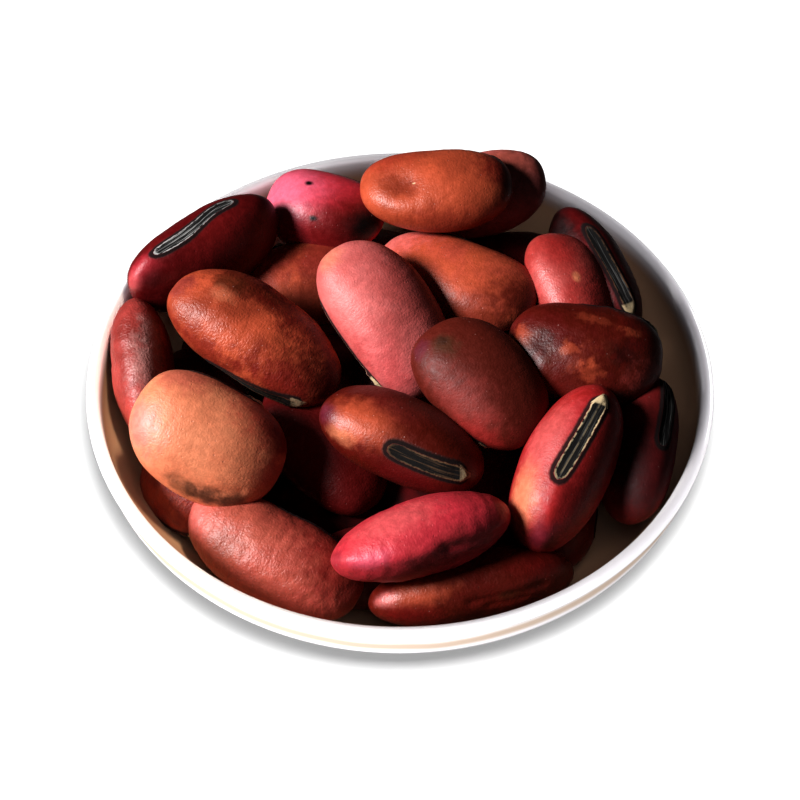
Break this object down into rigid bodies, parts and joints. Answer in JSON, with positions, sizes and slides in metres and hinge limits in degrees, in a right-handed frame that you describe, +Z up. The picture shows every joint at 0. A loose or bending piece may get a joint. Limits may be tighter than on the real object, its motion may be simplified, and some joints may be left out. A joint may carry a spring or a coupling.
{
  "type": "bowl of dried beans",
  "caption": "Shallow white glazed dish with a round lip and foot ring, heaped with large dried red beans that show their dark seed scars.",
  "frame": {"origin": "centre of the foot ring on the surface that the dish stands on", "axes": "+Z up along the dish's axis, +Y towards the back of the heap, +X to the right in the picture"},
  "size_m": [0.11, 0.11, 0.0465],
  "materials": {
    "white_glaze": "glossy white glaze",
    "bean_skin": "dry, faintly glossy seed skin in reds and browns"
  },
  "bodies": {
    "root": {"dish": "white_glaze", "beans": "bean_skin"}
  },
  "joints": []
}
